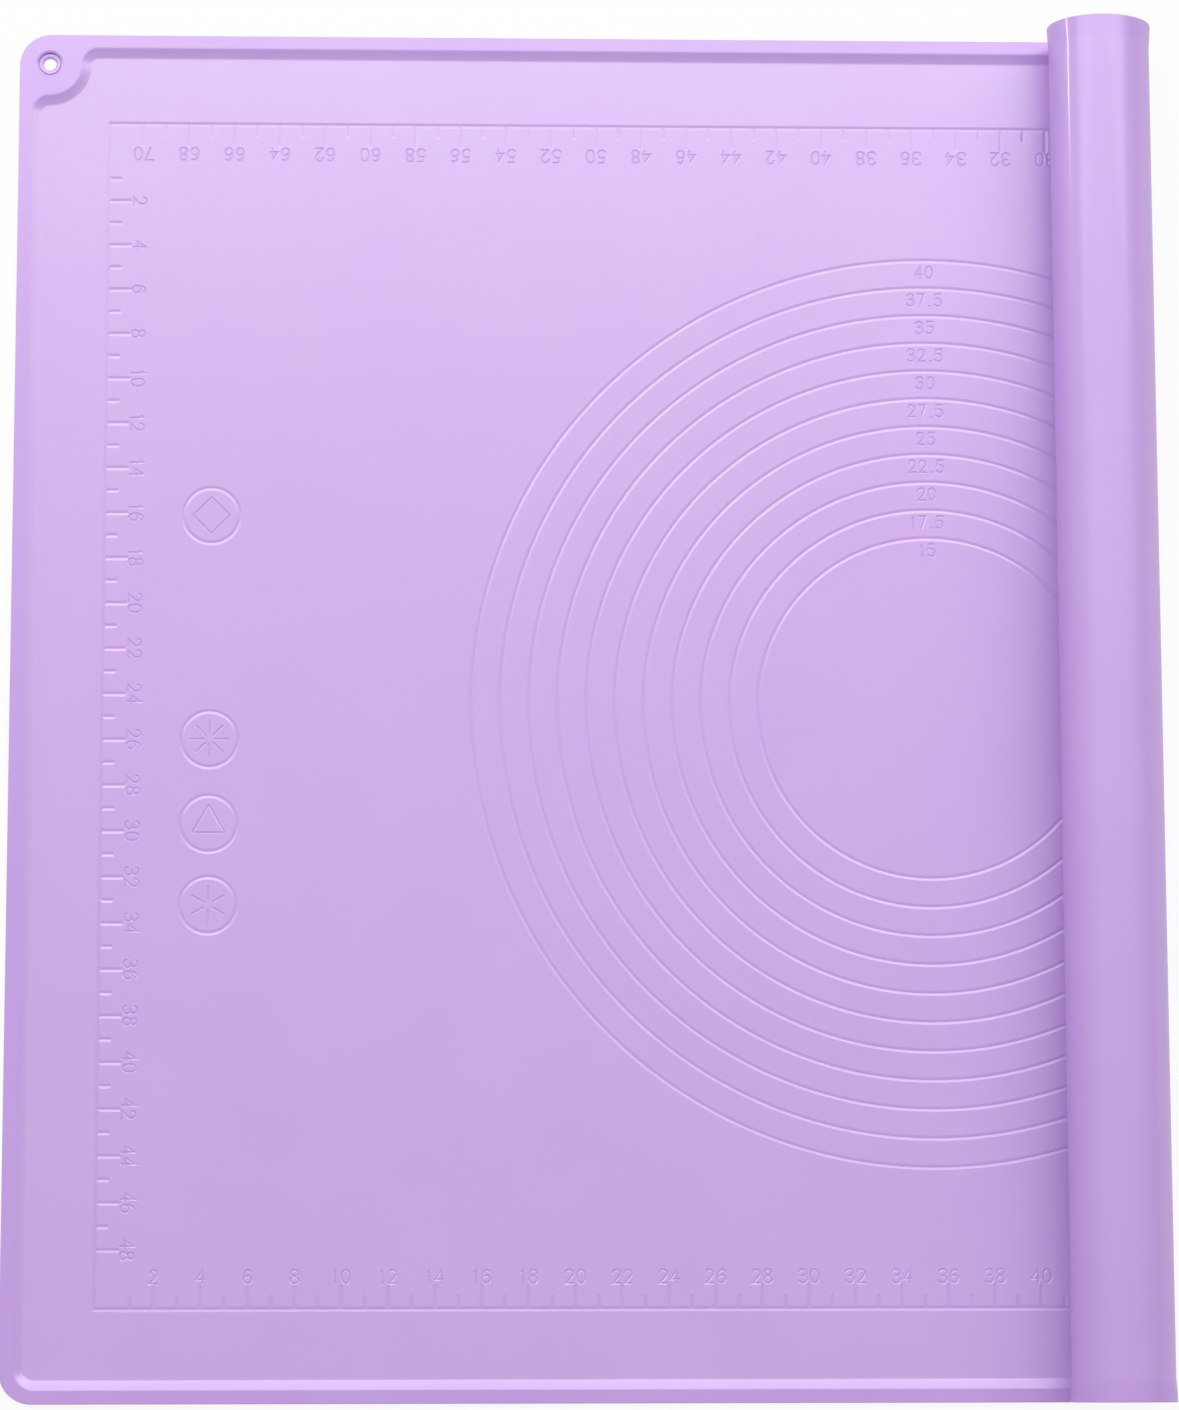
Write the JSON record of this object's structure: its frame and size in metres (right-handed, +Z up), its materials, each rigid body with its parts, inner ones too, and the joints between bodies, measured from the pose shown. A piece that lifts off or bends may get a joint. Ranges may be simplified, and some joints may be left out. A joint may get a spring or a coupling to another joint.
{
  "type": "silicone baking mat",
  "caption": "Large soft moulded pastry and baking mat with a raised rim, ruler frame, concentric size circles and a hanging eyelet, its right end rolled up.",
  "frame": {"origin": "on the table, under the middle of the outline of the mat as it lies partly rolled", "axes": "+X along the mat towards its rolled end, +Y across it towards the edge with the eyelet, +Z up from the table"},
  "size_m": [0.4986, 0.6, 0.0461],
  "materials": {
    "silicone": "satin"
  },
  "bodies": {
    "bed": {"bed_sheet": "silicone", "rim_left": "silicone", "rim_back": "silicone", "rim_front": "silicone", "corner_eyelet": "silicone", "corner_front": "silicone", "roll_root": "silicone"},
    "strip_01": {"roll_strip_01": "silicone"},
    "strip_02": {"roll_strip_02": "silicone"},
    "strip_03": {"roll_strip_03": "silicone"},
    "strip_04": {"roll_strip_04": "silicone"},
    "strip_05": {"roll_strip_05": "silicone"},
    "strip_06": {"roll_strip_06": "silicone"},
    "strip_07": {"roll_strip_07": "silicone"},
    "strip_08": {"roll_strip_08": "silicone"},
    "strip_09": {"roll_strip_09": "silicone"},
    "strip_10": {"roll_strip_10": "silicone"},
    "strip_11": {"roll_strip_11": "silicone"},
    "strip_12": {"roll_strip_12": "silicone"},
    "strip_13": {"roll_strip_13": "silicone"},
    "strip_14": {"roll_strip_14": "silicone"},
    "strip_15": {"roll_strip_15": "silicone"},
    "strip_16": {"roll_strip_16": "silicone"},
    "strip_17": {"roll_strip_17": "silicone"},
    "strip_18": {"roll_strip_18": "silicone"},
    "strip_19": {"roll_strip_19": "silicone"},
    "strip_20": {"roll_strip_20": "silicone"},
    "strip_21": {"roll_strip_21": "silicone"},
    "strip_22": {"roll_strip_22": "silicone"},
    "strip_23": {"roll_strip_23": "silicone"},
    "strip_24": {"roll_strip_24": "silicone"},
    "strip_25": {"roll_strip_25": "silicone"},
    "strip_26": {"roll_strip_26": "silicone"},
    "strip_27": {"roll_strip_27": "silicone"},
    "strip_28": {"roll_strip_28": "silicone"},
    "strip_29": {"roll_strip_29": "silicone"},
    "strip_30": {"roll_strip_30": "silicone"},
    "strip_31": {"roll_strip_31": "silicone"},
    "strip_32": {"roll_strip_32": "silicone"},
    "strip_33": {"roll_strip_33": "silicone"},
    "strip_34": {"roll_strip_34": "silicone"},
    "strip_35": {"roll_strip_35": "silicone"},
    "strip_36": {"roll_strip_36": "silicone"},
    "strip_37": {"roll_strip_37": "silicone"},
    "strip_38": {"roll_strip_38": "silicone"},
    "strip_39": {"roll_strip_39": "silicone"},
    "strip_40": {"roll_strip_40": "silicone"},
    "strip_41": {"roll_strip_41": "silicone"},
    "strip_42": {"roll_strip_42": "silicone"},
    "strip_43": {"roll_strip_43": "silicone"},
    "strip_44": {"roll_strip_44": "silicone"},
    "strip_45": {"roll_strip_45": "silicone"},
    "strip_46": {"roll_strip_46": "silicone"},
    "strip_47": {"roll_strip_47": "silicone"},
    "strip_48": {"roll_strip_48": "silicone"},
    "strip_49": {"roll_strip_49": "silicone"},
    "strip_50": {"roll_strip_50": "silicone"},
    "strip_51": {"roll_strip_51": "silicone"},
    "strip_52": {"roll_strip_52": "silicone"}
  },
  "joints": [
    {"name": "unroll_01", "type": "hinge", "parent": "bed", "child": "strip_01", "pos_m": [0.22883, 0, 0.0002], "axis": [0, 1, 0], "range_deg": [0, 14.96]},
    {"name": "unroll_02", "type": "hinge", "parent": "strip_01", "child": "strip_02", "pos_m": [0.23479, 0, 0.0018], "axis": [0, 1, 0], "range_deg": [0, 15.03]},
    {"name": "unroll_03", "type": "hinge", "parent": "strip_02", "child": "strip_03", "pos_m": [0.24014, 0, 0.00488], "axis": [0, 1, 0], "range_deg": [0, 15.11]},
    {"name": "unroll_04", "type": "hinge", "parent": "strip_03", "child": "strip_04", "pos_m": [0.2445, 0, 0.00926], "axis": [0, 1, 0], "range_deg": [0, 15.19]},
    {"name": "unroll_05", "type": "hinge", "parent": "strip_04", "child": "strip_05", "pos_m": [0.24756, 0, 0.01462], "axis": [0, 1, 0], "range_deg": [0, 15.28]},
    {"name": "unroll_06", "type": "hinge", "parent": "strip_05", "child": "strip_06", "pos_m": [0.2491, 0, 0.0206], "axis": [0, 1, 0], "range_deg": [0, 15.36]},
    {"name": "unroll_07", "type": "hinge", "parent": "strip_06", "child": "strip_07", "pos_m": [0.249, 0, 0.02678], "axis": [0, 1, 0], "range_deg": [0, 15.45]},
    {"name": "unroll_08", "type": "hinge", "parent": "strip_07", "child": "strip_08", "pos_m": [0.24726, 0, 0.0327], "axis": [0, 1, 0], "range_deg": [0, 15.53]},
    {"name": "unroll_09", "type": "hinge", "parent": "strip_08", "child": "strip_09", "pos_m": [0.244, 0, 0.03795], "axis": [0, 1, 0], "range_deg": [0, 15.62]},
    {"name": "unroll_10", "type": "hinge", "parent": "strip_09", "child": "strip_10", "pos_m": [0.23944, 0, 0.04211], "axis": [0, 1, 0], "range_deg": [0, 15.71]},
    {"name": "unroll_11", "type": "hinge", "parent": "strip_10", "child": "strip_11", "pos_m": [0.23393, 0, 0.04489], "axis": [0, 1, 0], "range_deg": [0, 15.8]},
    {"name": "unroll_12", "type": "hinge", "parent": "strip_11", "child": "strip_12", "pos_m": [0.22787, 0, 0.04607], "axis": [0, 1, 0], "range_deg": [0, 15.9]},
    {"name": "unroll_13", "type": "hinge", "parent": "strip_12", "child": "strip_13", "pos_m": [0.22172, 0, 0.04554], "axis": [0, 1, 0], "range_deg": [0, 15.99]},
    {"name": "unroll_14", "type": "hinge", "parent": "strip_13", "child": "strip_14", "pos_m": [0.21595, 0, 0.04333], "axis": [0, 1, 0], "range_deg": [0, 16.09]},
    {"name": "unroll_15", "type": "hinge", "parent": "strip_14", "child": "strip_15", "pos_m": [0.21102, 0, 0.03961], "axis": [0, 1, 0], "range_deg": [0, 16.19]},
    {"name": "unroll_16", "type": "hinge", "parent": "strip_15", "child": "strip_16", "pos_m": [0.20732, 0, 0.03467], "axis": [0, 1, 0], "range_deg": [0, 16.29]},
    {"name": "unroll_17", "type": "hinge", "parent": "strip_16", "child": "strip_17", "pos_m": [0.20516, 0, 0.02889], "axis": [0, 1, 0], "range_deg": [0, 16.39]},
    {"name": "unroll_18", "type": "hinge", "parent": "strip_17", "child": "strip_18", "pos_m": [0.20472, 0, 0.02273], "axis": [0, 1, 0], "range_deg": [0, 16.5]},
    {"name": "unroll_19", "type": "hinge", "parent": "strip_18", "child": "strip_19", "pos_m": [0.20604, 0, 0.0167], "axis": [0, 1, 0], "range_deg": [0, 16.6]},
    {"name": "unroll_20", "type": "hinge", "parent": "strip_19", "child": "strip_20", "pos_m": [0.20903, 0, 0.0113], "axis": [0, 1, 0], "range_deg": [0, 16.71]},
    {"name": "unroll_21", "type": "hinge", "parent": "strip_20", "child": "strip_21", "pos_m": [0.21345, 0, 0.00699], "axis": [0, 1, 0], "range_deg": [0, 16.82]},
    {"name": "unroll_22", "type": "hinge", "parent": "strip_21", "child": "strip_22", "pos_m": [0.21892, 0, 0.00414], "axis": [0, 1, 0], "range_deg": [0, 16.93]},
    {"name": "unroll_23", "type": "hinge", "parent": "strip_22", "child": "strip_23", "pos_m": [0.22499, 0, 0.00301], "axis": [0, 1, 0], "range_deg": [0, 17.05]},
    {"name": "unroll_24", "type": "hinge", "parent": "strip_23", "child": "strip_24", "pos_m": [0.23112, 0, 0.00371], "axis": [0, 1, 0], "range_deg": [0, 17.17]},
    {"name": "unroll_25", "type": "hinge", "parent": "strip_24", "child": "strip_25", "pos_m": [0.23678, 0, 0.00619], "axis": [0, 1, 0], "range_deg": [0, 17.29]},
    {"name": "unroll_26", "type": "hinge", "parent": "strip_25", "child": "strip_26", "pos_m": [0.24144, 0, 0.01023], "axis": [0, 1, 0], "range_deg": [0, 17.41]},
    {"name": "unroll_27", "type": "hinge", "parent": "strip_26", "child": "strip_27", "pos_m": [0.24467, 0, 0.01549], "axis": [0, 1, 0], "range_deg": [0, 17.53]},
    {"name": "unroll_28", "type": "hinge", "parent": "strip_27", "child": "strip_28", "pos_m": [0.24618, 0, 0.02147], "axis": [0, 1, 0], "range_deg": [0, 17.66]},
    {"name": "unroll_29", "type": "hinge", "parent": "strip_28", "child": "strip_29", "pos_m": [0.24579, 0, 0.02763], "axis": [0, 1, 0], "range_deg": [0, 17.79]},
    {"name": "unroll_30", "type": "hinge", "parent": "strip_29", "child": "strip_30", "pos_m": [0.24355, 0, 0.03337], "axis": [0, 1, 0], "range_deg": [0, 17.93]},
    {"name": "unroll_31", "type": "hinge", "parent": "strip_30", "child": "strip_31", "pos_m": [0.23964, 0, 0.03815], "axis": [0, 1, 0], "range_deg": [0, 18.06]},
    {"name": "unroll_32", "type": "hinge", "parent": "strip_31", "child": "strip_32", "pos_m": [0.23445, 0, 0.04148], "axis": [0, 1, 0], "range_deg": [0, 18.2]},
    {"name": "unroll_33", "type": "hinge", "parent": "strip_32", "child": "strip_33", "pos_m": [0.22848, 0, 0.04302], "axis": [0, 1, 0], "range_deg": [0, 18.35]},
    {"name": "unroll_34", "type": "hinge", "parent": "strip_33", "child": "strip_34", "pos_m": [0.22232, 0, 0.0426], "axis": [0, 1, 0], "range_deg": [0, 18.49]},
    {"name": "unroll_35", "type": "hinge", "parent": "strip_34", "child": "strip_35", "pos_m": [0.21662, 0, 0.04025], "axis": [0, 1, 0], "range_deg": [0, 18.64]},
    {"name": "unroll_36", "type": "hinge", "parent": "strip_35", "child": "strip_36", "pos_m": [0.21197, 0, 0.0362], "axis": [0, 1, 0], "range_deg": [0, 18.8]},
    {"name": "unroll_37", "type": "hinge", "parent": "strip_36", "child": "strip_37", "pos_m": [0.20887, 0, 0.03087], "axis": [0, 1, 0], "range_deg": [0, 18.96]},
    {"name": "unroll_38", "type": "hinge", "parent": "strip_37", "child": "strip_38", "pos_m": [0.20767, 0, 0.02482], "axis": [0, 1, 0], "range_deg": [0, 19.12]},
    {"name": "unroll_39", "type": "hinge", "parent": "strip_38", "child": "strip_39", "pos_m": [0.20852, 0, 0.01872], "axis": [0, 1, 0], "range_deg": [0, 19.28]},
    {"name": "unroll_40", "type": "hinge", "parent": "strip_39", "child": "strip_40", "pos_m": [0.21133, 0, 0.01323], "axis": [0, 1, 0], "range_deg": [0, 19.45]},
    {"name": "unroll_41", "type": "hinge", "parent": "strip_40", "child": "strip_41", "pos_m": [0.21582, 0, 0.009], "axis": [0, 1, 0], "range_deg": [0, 19.63]},
    {"name": "unroll_42", "type": "hinge", "parent": "strip_41", "child": "strip_42", "pos_m": [0.22146, 0, 0.00652], "axis": [0, 1, 0], "range_deg": [0, 19.81]},
    {"name": "unroll_43", "type": "hinge", "parent": "strip_42", "child": "strip_43", "pos_m": [0.22761, 0, 0.0061], "axis": [0, 1, 0], "range_deg": [0, 20]},
    {"name": "unroll_44", "type": "hinge", "parent": "strip_43", "child": "strip_44", "pos_m": [0.23353, 0, 0.0078], "axis": [0, 1, 0], "range_deg": [0, 20.19]},
    {"name": "unroll_45", "type": "hinge", "parent": "strip_44", "child": "strip_45", "pos_m": [0.2385, 0, 0.01145], "axis": [0, 1, 0], "range_deg": [0, 20.38]},
    {"name": "unroll_46", "type": "hinge", "parent": "strip_45", "child": "strip_46", "pos_m": [0.24188, 0, 0.0166], "axis": [0, 1, 0], "range_deg": [0, 20.58]},
    {"name": "unroll_47", "type": "hinge", "parent": "strip_46", "child": "strip_47", "pos_m": [0.24325, 0, 0.0226], "axis": [0, 1, 0], "range_deg": [0, 20.79]},
    {"name": "unroll_48", "type": "hinge", "parent": "strip_47", "child": "strip_48", "pos_m": [0.24239, 0, 0.0287], "axis": [0, 1, 0], "range_deg": [0, 21.01]},
    {"name": "unroll_49", "type": "hinge", "parent": "strip_48", "child": "strip_49", "pos_m": [0.2394, 0, 0.03409], "axis": [0, 1, 0], "range_deg": [0, 21.23]},
    {"name": "unroll_50", "type": "hinge", "parent": "strip_49", "child": "strip_50", "pos_m": [0.23467, 0, 0.03803], "axis": [0, 1, 0], "range_deg": [0, 21.45]},
    {"name": "unroll_51", "type": "hinge", "parent": "strip_50", "child": "strip_51", "pos_m": [0.22882, 0, 0.03996], "axis": [0, 1, 0], "range_deg": [0, 21.69]},
    {"name": "unroll_52", "type": "hinge", "parent": "strip_51", "child": "strip_52", "pos_m": [0.22267, 0, 0.0396], "axis": [0, 1, 0], "range_deg": [0, 21.59]}
  ],
  "couplings": [
    {"joint": "unroll_02", "follows": "unroll_01", "ratio": 1.0046},
    {"joint": "unroll_03", "follows": "unroll_01", "ratio": 1.01},
    {"joint": "unroll_04", "follows": "unroll_01", "ratio": 1.0155},
    {"joint": "unroll_05", "follows": "unroll_01", "ratio": 1.021},
    {"joint": "unroll_06", "follows": "unroll_01", "ratio": 1.0266},
    {"joint": "unroll_07", "follows": "unroll_01", "ratio": 1.0324},
    {"joint": "unroll_08", "follows": "unroll_01", "ratio": 1.0382},
    {"joint": "unroll_09", "follows": "unroll_01", "ratio": 1.0441},
    {"joint": "unroll_10", "follows": "unroll_01", "ratio": 1.0502},
    {"joint": "unroll_11", "follows": "unroll_01", "ratio": 1.0563},
    {"joint": "unroll_12", "follows": "unroll_01", "ratio": 1.0626},
    {"joint": "unroll_13", "follows": "unroll_01", "ratio": 1.0689},
    {"joint": "unroll_14", "follows": "unroll_01", "ratio": 1.0754},
    {"joint": "unroll_15", "follows": "unroll_01", "ratio": 1.082},
    {"joint": "unroll_16", "follows": "unroll_01", "ratio": 1.0887},
    {"joint": "unroll_17", "follows": "unroll_01", "ratio": 1.0956},
    {"joint": "unroll_18", "follows": "unroll_01", "ratio": 1.1026},
    {"joint": "unroll_19", "follows": "unroll_01", "ratio": 1.1097},
    {"joint": "unroll_20", "follows": "unroll_01", "ratio": 1.1169},
    {"joint": "unroll_21", "follows": "unroll_01", "ratio": 1.1243},
    {"joint": "unroll_22", "follows": "unroll_01", "ratio": 1.1319},
    {"joint": "unroll_23", "follows": "unroll_01", "ratio": 1.1396},
    {"joint": "unroll_24", "follows": "unroll_01", "ratio": 1.1474},
    {"joint": "unroll_25", "follows": "unroll_01", "ratio": 1.1554},
    {"joint": "unroll_26", "follows": "unroll_01", "ratio": 1.1636},
    {"joint": "unroll_27", "follows": "unroll_01", "ratio": 1.172},
    {"joint": "unroll_28", "follows": "unroll_01", "ratio": 1.1806},
    {"joint": "unroll_29", "follows": "unroll_01", "ratio": 1.1893},
    {"joint": "unroll_30", "follows": "unroll_01", "ratio": 1.1982},
    {"joint": "unroll_31", "follows": "unroll_01", "ratio": 1.2074},
    {"joint": "unroll_32", "follows": "unroll_01", "ratio": 1.2168},
    {"joint": "unroll_33", "follows": "unroll_01", "ratio": 1.2263},
    {"joint": "unroll_34", "follows": "unroll_01", "ratio": 1.2361},
    {"joint": "unroll_35", "follows": "unroll_01", "ratio": 1.2462},
    {"joint": "unroll_36", "follows": "unroll_01", "ratio": 1.2565},
    {"joint": "unroll_37", "follows": "unroll_01", "ratio": 1.267},
    {"joint": "unroll_38", "follows": "unroll_01", "ratio": 1.2779},
    {"joint": "unroll_39", "follows": "unroll_01", "ratio": 1.289},
    {"joint": "unroll_40", "follows": "unroll_01", "ratio": 1.3004},
    {"joint": "unroll_41", "follows": "unroll_01", "ratio": 1.3121},
    {"joint": "unroll_42", "follows": "unroll_01", "ratio": 1.3241},
    {"joint": "unroll_43", "follows": "unroll_01", "ratio": 1.3365},
    {"joint": "unroll_44", "follows": "unroll_01", "ratio": 1.3492},
    {"joint": "unroll_45", "follows": "unroll_01", "ratio": 1.3623},
    {"joint": "unroll_46", "follows": "unroll_01", "ratio": 1.3758},
    {"joint": "unroll_47", "follows": "unroll_01", "ratio": 1.3897},
    {"joint": "unroll_48", "follows": "unroll_01", "ratio": 1.404},
    {"joint": "unroll_49", "follows": "unroll_01", "ratio": 1.4188},
    {"joint": "unroll_50", "follows": "unroll_01", "ratio": 1.4341},
    {"joint": "unroll_51", "follows": "unroll_01", "ratio": 1.4498},
    {"joint": "unroll_52", "follows": "unroll_01", "ratio": 1.4429}
  ]
}
